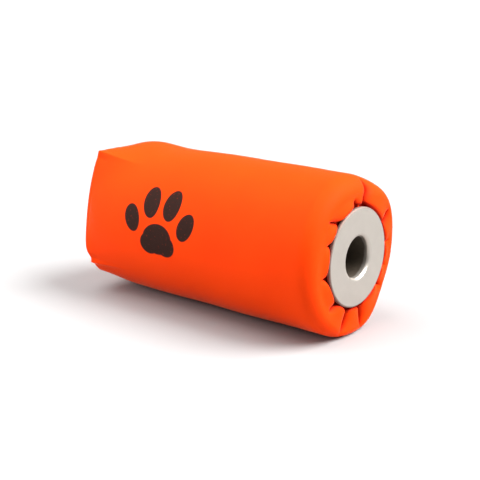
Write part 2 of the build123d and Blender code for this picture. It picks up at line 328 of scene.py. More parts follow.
def bag_rows(theta):
    """The stuffed bag before its folds: station, radius and path length for each row and column.

    From the hem outwards: the hem, a quarter ellipse forward along the flange's rim, the front,
    a quarter ellipse over the shoulder, the round body, a taper in which the radius goes from
    the circle to the bowed square as a power of the way along, a small quarter ellipse over the
    rim, and a dome, flat in the middle, whose height goes as 1 - (1 - share)^5.
    """
    along, inward, front = shoulder(theta)
    ones = np.ones(len(theta))
    rim_r = FLANGE_R + RIM_GAP
    puff_r = rim_r + 1.5
    outer_r = BODY_R - inward
    rows = []
    for share in shares(HEM_ROWS):
        rows.append((HEM_STATION * ones, (HEM_R + (rim_r - HEM_R) * share) * ones))
    for turn in shares(RIM_ROWS) * math.pi / 2:
        station = HEM_STATION - (HEM_STATION - front) * math.sin(turn)
        rows.append((station, (rim_r + (puff_r - rim_r) * (1 - math.cos(turn))) * ones))
    for share in shares(FRONT_ROWS):
        rows.append((front, puff_r + (outer_r - puff_r) * share))
    for turn in shares(SHOULDER_ROWS) * math.pi / 2:
        rows.append((front + along * (1 - math.cos(turn)), outer_r + inward * math.sin(turn)))
    start = front + along
    for share in shares(BODY_ROWS):
        rows.append((start + (TAPER_START - start) * share, BODY_R * ones))

    # 1 in the middle of each of the square's sides and 0 at its corners.
    middle = np.cos(2 * (theta - math.radians(NEAR_SIDE))) ** 2
    folded_side = np.cos(theta - math.radians(NEAR_SIDE)) ** 2
    square = square_radius(theta)
    rim_round = 1.0 + 1.8 * middle + 0.8 * middle * folded_side
    pull = np.zeros_like(theta)
    for degrees, outward, forward, spread in CORNERS:
        square = square + outward * bearing(theta, degrees, spread) + 0.5 * bearing(theta, degrees, 2.5)
        pull = pull + forward * bearing(theta, degrees, 1.2 * spread)
    rim = RIM_STATION - pull + 1.2 * middle * folded_side
    power = 1.6 + 3.9 * middle
    taper_end = rim - rim_round
    for share in shares(TAPER_ROWS):
        station = TAPER_START + (taper_end - TAPER_START) * share
        rows.append((station, BODY_R + (square - BODY_R) * share**power))
    for turn in shares(EDGE_ROWS) * math.pi / 2:
        drop = EDGE_FLATTENED * rim_round * (1 - math.cos(turn))
        rows.append((taper_end + rim_round * math.sin(turn), square - drop))
    panel_row = len(rows)
    inner_rim = square - EDGE_FLATTENED * rim_round
    for share in np.linspace(0.0, 1.0, END_ROWS):
        rows.append((rim + (BAG_END - rim) * (1 - (1 - share) ** DOME_POWER), inner_rim * (1 - share)))

    station = np.array([row[0] for row in rows])
    r = np.array([row[1] for row in rows])
    r = r + lean_of_bag(theta, station) * smooth((r - FLANGE_R) / 10.0)
    length = np.hypot(np.diff(station, axis=0), np.diff(r, axis=0))
    length = np.concatenate([np.zeros((1, len(theta))), np.cumsum(length, axis=0)])
    return station, r, length, panel_row


def gather_share(length, reach):
    """How far along a gather of a given reach each point is, starting at the front beside the flange."""
    start = FLANGE_R - HEM_R + 2.0
    return (length - start) / reach


def drifted(theta, station, length):
    """Bearings after the gathers have drifted round, fading out again along the body."""
    turned = np.repeat(theta[None], len(length), axis=0)
    fade = 1 - smooth((station - 30.0) / 60.0)
    for degrees, drift, bend, reach in GATHERS[:, :4]:
        share = smooth(gather_share(length, reach))
        swing = drift * share + bend * np.sin(math.pi * share)
        turned = turned + np.radians(swing) * fade * bearing(theta, degrees, 24.0)
    return turned


def folds(theta, r, length):
    """How far the gathers press the cloth in, and how deep in a gather each point lies, plus a band beside
    the flange's rim: this second value masks the painted shade in the creases and the painted shadow along
    the rim.

    A gather is a narrow cusp, exp(-(distance / width)^0.9), in a shallow dish, and the cloth
    between two gathers puffs out as (4u(1 - u))^0.5, u being the share of the way across.
    """
    valley_and_shade = np.zeros_like(r)
    dish = np.zeros_like(r)
    for degrees, _, _, reach, depth, width in GATHERS:
        sideways = np.radians(np.abs(turn_from(theta, degrees)))[None] * r
        share = gather_share(length, reach)
        fade = (1 - smooth((share - 0.45) / 0.55)) * smooth(share * 3.0 + 1.0)
        valley_and_shade = np.maximum(valley_and_shade, depth * fade * np.exp(-((sideways / width) ** 0.9)))
        dish = dish + DISH_DEPTH * depth * fade * np.exp(-((sideways / (DISH_WIDTH * width)) ** 2))
    starts = np.radians(np.append(GATHERS[:, 0], GATHERS[0, 0] + 360.0))
    angle = np.where(theta < starts[0], theta + 2 * math.pi, theta)
    slot = np.clip(np.searchsorted(starts, angle, side="right") - 1, 0, len(starts) - 2)
    width = starts[slot + 1] - starts[slot]
    across = (angle - starts[slot]) / width
    puff = (4 * across * (1 - across)) ** 0.5 - 0.55
    reaches = np.append(GATHERS[:, 3], GATHERS[0, 3])
    extent = reaches[slot] * (1 - across) + reaches[slot + 1] * across
    start = gather_share(length, 1.0)
    reach = (1 - smooth((start - 1.0) / extent)) * smooth(start / 3.0 + 0.8)
    push = PUFF * np.clip(width / 0.6, 0.35, 1.2) * puff * reach
    # Painted shadow: a band beside the flange's rim, added to the mask so that the cloth is painted dark
    # along the rim.
    rim_shadow = 2.2 * (1 - smooth((length - (FLANGE_R - HEM_R) - 1.5) / 3.0))
    return push - valley_and_shade - dish, valley_and_shade + rim_shadow


def end_creases(theta, r, length, panel_row):
    """The seams and puckers of the square end, as a push along the normal.

    Boxed seams run along the upper and lower rims, an end seam down the middle of the end, and
    a short pucker runs from each corner on to its neighbouring folded side.
    """
    from_rim = length - length[panel_row][None]
    push = np.zeros_like(r)
    for side in BOXED_SIDES:
        away = turn_from(theta, side)[None]
        on_side = smooth((43.0 - np.abs(away)) / 12.0)
        groove = BOX_GROOVE * np.exp(-((from_rim / 0.9) ** 2))
        ripple = np.sin(2 * math.pi * np.radians(away) * BODY_R / BOX_PUCKERS)
        push -= on_side * (groove + 0.07 * ripple * np.exp(-((from_rim / 4.5) ** 2)))
    on_panel = np.arange(len(r))[:, None] >= panel_row
    lean = np.radians(turn_from(theta, BOXED_SIDES[0]))[None]
    across = r * np.sin(lean)
    upward = r * np.cos(lean)
    seam = END_GROOVE * np.exp(-((across / 0.9) ** 2))
    puckers = np.sin(2 * math.pi * upward / END_PUCKERS + 0.6 * np.sin(upward / 5.0))
    push -= np.where(on_panel, seam + 0.12 * puckers * np.exp(-((across / 6.0) ** 2)), 0.0)
    for degrees, lean in zip(CORNERS[:, 0], (1.0, -1.0, 1.0, -1.0)):
        path = turn_from(theta, degrees)[None] * lean - 3.0 - 0.25 * np.clip(-from_rim, 0.0, 12.0)
        sideways = np.radians(np.abs(path)) * r
        reach = smooth(1 - np.abs(from_rim + 4.0) / 5.5)
        push -= CORNER_GROOVE * reach * np.exp(-((sideways / 1.4) ** 1.2))
    return push


def seam_ridge(theta, station, r):
    """The felled side seam: the doubled cloth stands up between two shallow stitched grooves."""
    sideways = np.radians(turn_from(theta, SEAM_ANGLE))[None] * r
    along = smooth((station - 9.0) / 4.0) * smooth((RIM_STATION - station) / 6.0)
    ridge = 0.35 * smooth((4.4 - np.abs(sideways)) / 1.2)
    rows = 0.3 * (np.exp(-(((sideways - 2.0) / 0.45) ** 2)) + np.exp(-(((sideways + 2.0) / 0.45) ** 2)))
    return (ridge - rows) * along


def stuffing(theta, station):
    """Slow unevenness of the stuffing under the cloth: three crossing sine waves, under 0.3 mm."""
    waves = np.sin(station / 13.0 + 2.0 * np.sin(theta)) + np.sin(station / 7.5 - 3 * theta + 1.0)
    return 0.1 * (waves + np.sin(5 * theta + station / 19.0))


# How softly the bag meets the ground, how far its cloth starts drawn in near the mouth, to leave
# the cloth simulation room, and how deep the padding lies under it: along the body, and how much
# more at the front.
SOFTNESS = 0.6
SLACK = 0.2
PAD_DEPTH = 2.2
PAD_DEEPER = 3.6
BESIDE_CORE = 0.4


def surface_points(theta, station, r):
    """Stations and radii at bearings round the tube, turned to points in the frame."""
    return np.stack([MOUTH_X - station, r * np.cos(theta), AXIS_Z + r * np.sin(theta)], axis=-1)


def settle(points):
    """Rests the bag on the ground: heights z become SOFTNESS * log(1 + exp(z / SOFTNESS))."""
    height = points[..., 2:]
    flat = SOFTNESS * np.logaddexp(0.0, height / SOFTNESS)
    return np.concatenate([points[..., :2], flat], axis=-1)


def near_mouth(station):
    """1 over the rolled front, fading to 0 along the body."""
    return 1 - smooth((station - 14.0) / 26.0)


def stuffed_cover(columns):
    """The cover's outer surface as a grid, with what its pieces and materials need to know."""
    base = crowded_columns(columns)
    station, r, length, panel_row = bag_rows(base)
    theta = drifted(base, station, length)
    points = surface_points(theta, station, r)
    normal = row_normals(points)
    pad_depth = PAD_DEPTH + PAD_DEEPER * (1 - smooth((gather_share(length, 1.0) - 9.0) / 12.0))
    pad = settle(points - normal * pad_depth[..., None])
    reach = np.hypot(pad[..., 1], pad[..., 2] - AXIS_Z)
    beside_core = (MOUTH_X - pad[..., 0] > WASHER_BACK - 0.5) & (MOUTH_X - pad[..., 0] < DISC_BACK)
    wider = np.maximum(1.0, (CORE_R + BESIDE_CORE) / np.maximum(reach, 1.0))
    widen = np.where(beside_core, wider, 1.0)
    pad[..., 1] *= widen
    pad[..., 2] = AXIS_Z + (pad[..., 2] - AXIS_Z) * widen
    # The second value is the mask of painted shade in the gathers' creases and painted shadow along the
    # flange's rim; the cloth simulation also holds the cloth by it.
    push, valley_and_shade = folds(base, r, length)
    push = push + end_creases(base, r, length, panel_row)
    calm = 1 - 0.8 * smooth((length - length[panel_row][None]) / 6.0)
    push = push + seam_ridge(base, station, r) + stuffing(base[None], station) * calm
    push = push - SLACK * near_mouth(station) * smooth((gather_share(length, 1.0) - 1.0) / 6.0)
    points = settle(points + normal * push[..., None])
    return {
        "points": points, "normal": row_normals(points), "theta": theta, "station": station,
        "r": r, "length": length, "panel_row": panel_row, "valley_and_shade": valley_and_shade, "base": base, "pad": pad,
    }


def cloth_uv(cover):
    """Two layouts in millimetres: round and along the bag, and flat across the end."""
    theta = np.concatenate([cover["theta"], cover["theta"][:, :1] + 2 * math.pi], axis=1)
    run = cover["length"].mean(axis=1)[:, None]
    r = np.concatenate([cover["r"], cover["r"][:, :1]], axis=1)
    lean = theta - math.radians(BOXED_SIDES[0])
    round_it = np.stack([theta * BODY_R, np.broadcast_to(run, theta.shape)], axis=-1)
    panel = np.stack([r * np.sin(lean), r * np.cos(lean)], axis=-1)
    return np.stack([round_it, panel])


def make_cover(cover):
    """The cloth as a closed shell: its outer grid, and a coarser wall inside it."""
    rows = len(cover["station"])
    front_rows = int(np.argmax(cover["station"].mean(axis=1) > FRONT_WALL_END))
    front, body = np.arange(2, front_rows, 4), np.arange(front_rows, rows - 2, 8)
    keep = np.concatenate([front, body, [rows - 1]])[::-1]
    thin = np.where(cover["station"][keep] < FRONT_WALL_END, FRONT_WALL, CLOTH)[..., None]
    inner = cover["points"][keep] - cover["normal"][keep] * thin
    inner[0] = inner[0].mean(axis=0)
    inner[..., 0] = np.minimum(inner[..., 0], MOUTH_X - HEM_STATION - 1.0)
    uv = cloth_uv(cover)
    inside_uv = np.repeat(uv[:1, keep], 2, axis=0)
    # This mask carries the painted shade of the creases and the painted shadow along the rim to the cloth's
    # material; the inner wall gets none.
    valley_and_shade = cover["valley_and_shade"]
    return grid_mesh(
        "cover_cloth",
        np.concatenate([inner, cover["points"]]),
        poles=(True, True),
        uv=np.concatenate([inside_uv, uv], axis=1),
        panel_row=len(keep) + cover["panel_row"],
        marks={"crease_shade": np.concatenate([np.zeros_like(valley_and_shade[keep]), valley_and_shade])},
    )


# The cloth simulation works on part of the grid, at CLOTH_SCALE times its size, and moves no point
# further than its cap, in millimetres.  It is held where it is lower than ON_GROUND, and in the
# gathers by HELD_IN_GATHERS for each millimetre of their depth.
EVERY_ROW, EVERY_COLUMN = 3, 4
CLOTH_SCALE = 10.0
CLOTH_FRAMES = 20
CLOTH_PRESSURE = 4.0
CLOTH_STIFFNESS = 3000.0
CLOTH_BENDING = 2.0
CLOTH_QUALITY = 10
CLOTH_CAP = 1.6
ON_GROUND = 0.6
HELD_IN_GATHERS = 0.8


def spread_out(coarse, shape):
    """A field on part of the grid, linear between its points over the whole grid, then averaged."""
    down = np.minimum(np.arange(shape[0]) / EVERY_ROW, len(coarse) - 1)
    across = np.arange(shape[1]) / EVERY_COLUMN
    top, left = np.floor(down).astype(int), np.floor(across).astype(int)
    below, right = np.minimum(top + 1, len(coarse) - 1), (left + 1) % coarse.shape[1]
    v, u = (down - top)[:, None, None], (across - left)[None, :, None]
    upper = coarse[top][:, left] * (1 - u) + coarse[top][:, right] * u
    lower = coarse[below][:, left] * (1 - u) + coarse[below][:, right] * u
    field = upper * (1 - v) + lower * v
    for _ in range(3):
        field = (np.roll(field, 1, axis=1) + 2 * field + np.roll(field, -1, axis=1)) / 4
        walled = np.concatenate([field[:1], field, field[-1:]])
        field = (walled[:-2] + 2 * field + walled[2:]) / 4
    return field


def press_out(cover):
    """Cloth simulation: the stuffing presses the cloth out between its gathers, near the mouth.

    The cloth is held at the hem, in the gathers' valleys, on the ground and at the square end.
    A point that would move further than the cap moves by the cap, and what is moved fades out
    behind the mouth, so that the body keeps its shape.
    """
    rows = np.arange(0, len(cover["points"]), EVERY_ROW)
    start = cover["points"][rows][:, ::EVERY_COLUMN]
    length = cover["length"][rows][:, ::EVERY_COLUMN]
    held = HELD_IN_GATHERS * cover["valley_and_shade"][rows][:, ::EVERY_COLUMN]
    held = np.maximum(held, (length < FLANGE_R - HEM_R + 2.0) | (start[..., 2] < ON_GROUND))
    held = np.maximum(held, rows[:, None] >= cover["panel_row"] - EDGE_ROWS)
    piece = grid_mesh("cloth_trial", start * CLOTH_SCALE)
    group = piece.vertex_groups.new(name="held")
    for index, weight in enumerate(np.clip(held, 0.0, 1.0).reshape(-1)):
        group.add([index], float(weight), "REPLACE")
    cloth = piece.modifiers.new("cloth", "CLOTH").settings
    cloth.effector_weights.gravity = 0.0
    cloth.quality = CLOTH_QUALITY
    cloth.tension_stiffness = CLOTH_STIFFNESS
    cloth.compression_stiffness = CLOTH_STIFFNESS
    cloth.shear_stiffness = CLOTH_STIFFNESS
    cloth.bending_stiffness = CLOTH_BENDING
    cloth.use_pressure = True
    cloth.uniform_pressure_force = CLOTH_PRESSURE
    cloth.vertex_group_mass = group.name
    for number in range(1, CLOTH_FRAMES + 1):
        bpy.context.scene.frame_set(number)
    pressed = piece.evaluated_get(bpy.context.evaluated_depsgraph_get()).to_mesh()
    places = np.empty(start.size, dtype=np.float32)
    pressed.vertices.foreach_get("co", places)
    moved = places.reshape(start.shape).astype(float) / (MM * CLOTH_SCALE) - start
    bpy.context.scene.frame_set(1)
    bpy.data.meshes.remove(piece.data)
    size = np.linalg.norm(moved, axis=-1, keepdims=True)
    moved *= np.minimum(1.0, CLOTH_CAP / np.maximum(size, 1e-6))
    moved *= near_mouth(cover["station"][rows][:, ::EVERY_COLUMN])[..., None]
    ground = cover["points"][..., 2].min()
    cover["points"] = cover["points"] + spread_out(moved, cover["points"].shape)
    cover["points"][..., 2] = np.maximum(cover["points"][..., 2], ground)
    cover["normal"] = row_normals(cover["points"])


cover = stuffed_cover(COLUMNS)
press_out(cover)
cover_cloth = make_cover(cover)
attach(cover_cloth, "root")
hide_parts("cover")

# ---------------------------------------------------------------- the padding under it


def lining(cover, low, high):
    """Every third row and column of the padding's surface between two stations, from the front."""
    rows = np.arange(len(cover["station"]))
    station = cover["station"].mean(axis=1)
    past_rim = cover["length"].mean(axis=1) > FLANGE_R - HEM_R + 4.5
    rows = rows[(station >= low) & (station <= high) & past_rim][::3]
    return cover["pad"][rows][:, ::3], cover["theta"][rows][:, ::3]


def make_padding(cover):
    """The felt wrap: the cover's surface drawn in, then back along the foam core and its front."""
    outer, theta = lining(cover, 0.0, DISC_BACK - 0.5)
    corners = [
        (DISC_BACK, CORE_R + 0.1),
        (WASHER_BACK - 0.1, CORE_R + 0.1),
        (WASHER_BACK - 0.1, WASHER_R + 0.3),
    ]
    inner = []
    for place, radius in corners:
        around = theta[0] if place < DISC_BACK else theta[-1]
        inner.append(surface_points(around, np.full(theta.shape[1], place), radius))
    return grid_mesh("padding_felt", np.concatenate([outer, inner]), ring=True)


def make_end_foam(cover):
    """The end foam: the cover's surface drawn in, closed by a flat front with a pocket for the bolt."""
    outer, theta = lining(cover, DISC_BACK + 0.5, BAG_END + 1.0)
    outer[-1] = outer[-1].mean(axis=0)
    pocket = [(BOLT_END + 0.5, 0.0), (BOLT_END + 0.5, DISH_R + 0.5), (DISC_BACK + 0.1, DISH_R + 0.5)]
    front = [surface_points(theta[0], np.full(theta.shape[1], place), radius) for place, radius in pocket]
    return grid_mesh("end_foam", np.concatenate([front, outer]), poles=(True, True))


padding_felt = make_padding(cover)
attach(padding_felt, "root")
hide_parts("padding_wrap")

end_foam = make_end_foam(cover)
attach(end_foam, "root")
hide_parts("foam_end_block")

# ---------------------------------------------------------------- the stitches

STITCH_PITCH = 3.2
STITCH_HALF = 1.15
THREAD_R = 0.24
SIDE_LINES = (-2.0, 2.0)
END_LINES = (-2.2, 2.2)
END_SEAM_HALF = 26.0


def stitches(name, places, ahead, out):
    """Threads lying on the cloth, each a bent capsule that dives in at both ends.

    A capsule's centreline is a shallow arch over its place, STITCH_HALF * cos along ahead, and
    its radius goes as the square root of sin, so that it is blunt.
    """
    turn = np.linspace(0.0, math.pi, 7)[:, None]
    spin = np.linspace(0.0, 2 * math.pi, 8, endpoint=False)[None]
    side = np.cross(ahead, out)
    along = (STITCH_HALF * np.cos(turn) + 0 * spin)[..., None]
    radius = THREAD_R * np.sin(turn) ** 0.5
    wide = (radius * np.cos(spin))[..., None]
    high = (radius * np.sin(spin) + 0.2 * np.sin(turn) - 0.1)[..., None]
    points = places[:, None, None] - ahead[:, None, None] * along
    points = points + side[:, None, None] * wide + out[:, None, None] * high
    return grid_mesh(name, points, poles=(True, True))


def on_cover(cover, station, degrees, beside):
    """Places on the cover at stations along the body, beside millimetres round from a bearing."""
    degrees = degrees + math.degrees(1 / BODY_R) * beside
    column = np.argmin(np.abs(turn_from(cover["base"], degrees)))
    found = []
    for grid in (cover["points"], cover["normal"]):
        lines = [np.interp(station, cover["station"][:, column], grid[:, column, axis]) for axis in range(3)]
        found.append(np.stack(lines, axis=-1))
    return found


side_stations = np.arange(13.0, RIM_STATION - 6.0, STITCH_PITCH)
sides = [on_cover(cover, side_stations, SEAM_ANGLE, beside) for beside in SIDE_LINES]
places = np.concatenate([side[0] for side in sides])
out = np.concatenate([side[1] for side in sides])
side_stitches = stitches("side_stitches", places, np.tile([-1.0, 0.0, 0.0], (len(places), 1)), out)
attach(side_stitches, "root")
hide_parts("side_seam_stitches")


def end_seam_places(cover, beside):
    """Places on the end panel along lines beside the end seam, from its surface's nearest points."""
    rows = slice(cover["panel_row"] + 2, None)
    lean = cover["theta"][rows] - math.radians(BOXED_SIDES[0])
    across = (cover["r"][rows] * np.sin(lean)).reshape(-1)
    upward = (cover["r"][rows] * np.cos(lean)).reshape(-1)
    wanted = np.arange(-END_SEAM_HALF, END_SEAM_HALF + 0.1, STITCH_PITCH)
    gap = (across[None] - beside) ** 2 + (upward[None] - wanted[:, None]) ** 2
    nearest = np.argmin(gap, axis=1)
    return cover["points"][rows].reshape(-1, 3)[nearest], cover["normal"][rows].reshape(-1, 3)[nearest]


ends = [end_seam_places(cover, beside) for beside in END_LINES]
places = np.concatenate([end[0] for end in ends])
out = np.concatenate([end[1] for end in ends])
up_seam = np.array([0.0, math.cos(math.radians(BOXED_SIDES[0])), math.sin(math.radians(BOXED_SIDES[0]))])
ahead = up_seam - out * (out @ up_seam)[:, None]
ahead = ahead / np.linalg.norm(ahead, axis=1, keepdims=True)
end_stitches = stitches("end_stitches", places, ahead, out)
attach(end_stitches, "root")
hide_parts("end_seam_stitches")

# ---------------------------------------------------------------- materials


class Value:
    """A node socket that can be used in sums: each operator adds a Math node."""

    def __init__(self, paint, socket):
        self.paint = paint
        self.socket = socket

    def _math(self, operation, *values):
        return self.paint.node("ShaderNodeMath", {"operation": operation}, list(values))

    def __add__(self, other):
        return self._math("ADD", self, other)

    def __radd__(self, other):
        return self._math("ADD", other, self)

    def __sub__(self, other):
        return self._math("SUBTRACT", self, other)

    def __rsub__(self, other):
        return self._math("SUBTRACT", other, self)

    def __mul__(self, other):
        return self._math("MULTIPLY", self, other)

    def __rmul__(self, other):
        return self._math("MULTIPLY", other, self)

    def __truediv__(self, other):
        return self._math("DIVIDE", self, other)

    def __pow__(self, other):
        return self._math("POWER", self, other)

    def above(self, other):
        return self._math("MAXIMUM", self, other)

    def sine(self):
        return self._math("SINE", self)

    def size(self):
        return self._math("ABSOLUTE", self)

    def bearing_of(self, other):
        return self._math("ARCTAN2", self, other)

    def clipped(self):
        return self.paint.node("ShaderNodeClamp", {}, [self])


class Paint:
    """One material: its nodes are added through node(), and its shader is the Principled one."""

    def __init__(self, name, **constants):
        self.material = bpy.data.materials.new(name)
        self.material.use_nodes = True
        self.tree = self.material.node_tree
        self.shader = self.tree.nodes["Principled BSDF"]
        for socket, value in constants.items():
            self.shader.inputs[socket.replace("_", " ")].default_value = value

    def node(self, kind, settings=None, inputs=None, output=0):
        """Adds a node, sets its settings, then its sockets by index or name, and returns one output."""
        made = self.tree.nodes.new(kind)
        for key, value in (settings or {}).items():
            setattr(made, key, value)
        pairs = inputs.items() if isinstance(inputs, dict) else enumerate(inputs or [])
        for key, value in pairs:
            socket = made.inputs[key]
            if isinstance(value, Value):
                self.tree.links.new(value.socket, socket)
            else:
                socket.default_value = value
        return Value(self, made.outputs[output])

    def feed(self, socket, value):
        self.tree.links.new(value.socket, self.shader.inputs[socket])

    def split(self, vector):
        """The three parts of a vector."""
        first = self.node("ShaderNodeSeparateXYZ", {}, [vector])
        return [Value(self, output) for output in first.socket.node.outputs]

    def objects(self):
        return self.node("ShaderNodeTexCoord", {}, None, output=3)

    def place(self):
        """Where a point is in the frame, as three values in millimetres."""
        return [value * (1 / MM) for value in self.split(self.objects())]

    def mix(self, factor, first, second):
        """Mixes two colours."""
        return self.node("ShaderNodeMix", {"data_type": "RGBA"}, {0: factor, 6: first, 7: second}, output=2)

    def cloud(self, size, detail=2.0, stretch=(1.0, 1.0, 1.0), vector=None):
        """Noise whose blots are about size millimetres across, longer where stretch is under 1."""
        scale = tuple(part / (size * (MM if vector is None else 1.0)) for part in stretch)
        vector = self.objects() if vector is None else vector
        placed = self.node("ShaderNodeMapping", {}, {"Vector": vector, "Scale": scale})
        return self.node("ShaderNodeTexNoise", {}, {"Vector": placed, "Scale": 1.0, "Detail": detail})

    def coat(self, factor, **constants):
        """Covers the surface with a second shader where factor is 1."""
        inputs = {socket.replace("_", " "): value for socket, value in constants.items()}
        second = self.node("ShaderNodeBsdfPrincipled", {}, inputs)
        mixed = self.node("ShaderNodeMixShader", {}, [factor, Value(self, self.shader.outputs[0]), second])
        self.tree.links.new(mixed.socket, self.tree.nodes["Material Output"].inputs[0])

    def bump(self, height, strength, distance):
        """Raises the surface by height times distance, in millimetres."""
        inputs = {"Strength": strength, "Distance": distance * MM, "Height": height}
        self.feed("Normal", self.node("ShaderNodeBump", {}, inputs))


# The print: a plain paw.  Each pad is across and up from its middle, its two half-sizes and its lean.
PAW_PADS = [
    (0.0, -5.0, 9.4, 7.6, 0.0),
    (-5.2, -7.6, 6.0, 5.4, 0.0),
    (5.2, -7.6, 6.0, 5.4, 0.0),
    (-17.4, 3.4, 4.7, 7.0, 22.0),
    (-6.6, 12.6, 5.1, 8.0, 7.0),
    (6.6, 12.6, 5.1, 8.0, -7.0),
    (17.4, 3.4, 4.7, 7.0, -22.0),
]
PAW_BEARING = 171.0
PAW_STATION = 90.0
WEAVE_PITCH = 0.5


def paw_mask(across, up):
    """1 inside any pad of the paw: each is an ellipse, 1 - (x/a)^2 - (y/b)^2, with a crisp edge."""
    mask = None
    for x, y, half_width, half_height, lean in PAW_PADS:
        cos, sin = math.cos(math.radians(lean)), math.sin(math.radians(lean))
        sideways = ((across - x) * cos + (up - y) * sin) / half_width
        upright = ((up - y) * cos - (across - x) * sin) / half_height
        pad = 1.0 - sideways * sideways - upright * upright
        mask = pad if mask is None else mask.above(pad)
    return (mask * 9.0 + 0.5).clipped()


def nylon_paint():
    """Coated plain-weave nylon with an inked print; painted shade darkens the gaps between its threads and
    its gathered creases, and a painted shadow runs along the flange's rim.
    """
    paint = Paint(
        "orange_nylon",
        Specular_IOR_Level=0.04,
        Sheen_Weight=0.24,
        Sheen_Roughness=0.20,
        Sheen_Tint=(1.0, 0.60, 0.42, 1.0),
    )
    uv = paint.node("ShaderNodeUVMap", {"uv_map": "cloth"})
    u, v, _ = paint.split(uv)
    slub = paint.cloud(3.0, 2.0, (1.0, 0.15, 1.0), uv)
    warp = (u * (math.pi / WEAVE_PITCH)).sine()
    weft = (v * (math.pi / WEAVE_PITCH) + slub * 0.8).sine()
    over = warp * weft
    threads = warp.size() * (over * 0.5 + 0.5) + weft.size() * (0.5 - over * 0.5)
    run = np.interp(PAW_STATION, cover["station"].mean(axis=1), cover["length"].mean(axis=1))
    across = (v - float(run)) * -1.0
    up = (u - math.radians(PAW_BEARING) * BODY_R) * -1.0
    worn = paint.cloud(1.3, 3.0, (1.0, 1.0, 1.0), uv)
    rubbed = (1.0 - (worn - 0.62).above(0.0) * 1.6).clipped()
    ink = paw_mask(across, up) * rubbed * (0.95 + threads * 0.05)

    patches = paint.cloud(24.0, 3.0)
    cloth = paint.mix(patches, (0.86, 0.044, 0.0010, 1), (0.90, 0.056, 0.0018, 1))
    # Painted shade: the cloth is darker in the gaps between the weave's threads.
    cloth = paint.mix((1.0 - threads) * 0.30, cloth, (0.66, 0.024, 0.001, 1))
    # Painted shade: the cloth is painted dark red in the gathers' creases, and as a painted shadow in a band
    # along the flange's rim.
    crease_shade = paint.node("ShaderNodeAttribute", {"attribute_name": "crease_shade"}, None, output=2)
    cloth = paint.mix((crease_shade * 0.8).clipped(), cloth, (0.40, 0.008, 0.0004, 1))
    paint.feed("Base Color", cloth)
    paint.feed("Roughness", 0.58 + patches * 0.10)
    paint.coat(ink, Base_Color=(0.010, 0.008, 0.006, 1), Roughness=0.7, Specular_IOR_Level=0.08)
    paint.bump(threads * (1.0 - ink * 0.5) + slub * 0.4, 0.35, 0.16)
    return paint.material


def darken_bore(paint, radius, station, colour):
    """Darker brown inside the bore, starting just inside the mouth's edge; also gives the mask of where."""
    deep = ((station - 2.0 + paint.cloud(4.0, 3.0)) * 0.6).clipped()
    inside = ((BORE_R + 0.8 - radius) * 2.0).clipped() * deep
    return paint.mix(inside, colour, (0.055, 0.040, 0.026, 1)), inside


def turned_paint(name, colour, rough):
    """Metal turned about the tube: fine uneven rings, a few darker clouds, hairline scratches, and painted
    shade on the outer edge of the rim.
    """
    paint = Paint(name, Metallic=1.0)
    x, y, z = paint.place()
    drop = z - float(AXIS_Z)
    radius = (y * y + drop * drop) ** 0.5
    inputs = {"W": radius + x, "Scale": 4.0, "Detail": 3.0}
    rings = paint.node("ShaderNodeTexNoise", {"noise_dimensions": "1D"}, inputs)
    fine = (radius * (2 * math.pi / 0.35)).sine() * 0.5 + 0.5
    cloud = paint.cloud(9.0, 4.0)
    scratch = (paint.cloud(0.5, 1.0, (1.0, 0.04, 1.0)) - 0.66).above(0.0) * 4.0
    dark = tuple(part * 0.80 for part in colour) + (1,)
    metal = paint.mix((cloud * 0.6 + rings * 0.4).clipped(), colour + (1,), dark)
    # Painted shade: the outermost edge of the rim is painted a dull brown to dim its highlight, and it is
    # also made rougher.
    shaded_rim = ((radius - float(FLANGE_R - 0.9)) * 2.0).clipped()
    metal = paint.mix(shaded_rim, metal, (0.30, 0.23, 0.20, 1))
    darkened, inside = darken_bore(paint, radius, float(MOUTH_X) - x, metal)
    paint.feed("Base Color", darkened)
    paint.feed("Metallic", 1.0 - inside * 0.8)
    grain = rings * 0.10 + cloud * 0.08 + scratch.clipped() * 0.1
    paint.feed("Roughness", grain + inside * 0.3 + shaded_rim * 0.3 + rough)
    paint.bump(fine * 0.4 + rings + scratch.clipped() * -0.5, 0.5, 0.02)
    return paint.material


def drawn_paint(name, colour, rough):
    """Drawn tube: streaks along it and a little dirt."""
    paint = Paint(name)
    streaks = paint.cloud(0.5, 3.0, (0.02, 1.0, 1.0))
    dirt = paint.cloud(6.0, 4.0)
    x, y, z = paint.place()
    drop = z - float(AXIS_Z)
    radius = (y * y + drop * drop) ** 0.5
    metal = paint.mix(dirt, colour + (1,), tuple(part * 0.7 for part in colour) + (1,))
    darkened, inside = darken_bore(paint, radius, float(MOUTH_X) - x, metal)
    paint.feed("Base Color", darkened)
    paint.feed("Metallic", 1.0 - inside * 0.8)
    paint.feed("Roughness", streaks * 0.2 + dirt * 0.1 + inside * 0.2 + rough)
    paint.bump(streaks, 0.4, 0.02)
    return paint.material


def plated_paint(name, colour, tint, rough, metallic=1.0):
    """Plated or blacked steel: a mottled finish with small pits."""
    paint = Paint(name, Metallic=metallic)
    mottle = paint.cloud(2.5, 4.0)
    pits = (paint.cloud(0.35, 2.0) - 0.6).above(0.0) * 3.0
    paint.feed("Base Color", paint.mix(mottle, colour + (1,), tint + (1,)))
    paint.feed("Roughness", mottle * 0.2 + rough)
    paint.bump(pits * -1.0, 0.5, 0.03)
    return paint.material


def moulded_paint(name, colour, tint, rough, grain):
    """Rubber or plastic: a fine grain, paler where it is scuffed."""
    paint = Paint(name, Specular_IOR_Level=0.4)
    scuff = (paint.cloud(5.0, 5.0) - 0.45).above(0.0) * 2.0
    fine = paint.cloud(grain, 2.0)
    paint.feed("Base Color", paint.mix(scuff.clipped(), colour + (1,), tint + (1,)))
    paint.feed("Roughness", fine * 0.15 + rough)
    paint.bump(fine, 0.5, 0.05)
    return paint.material


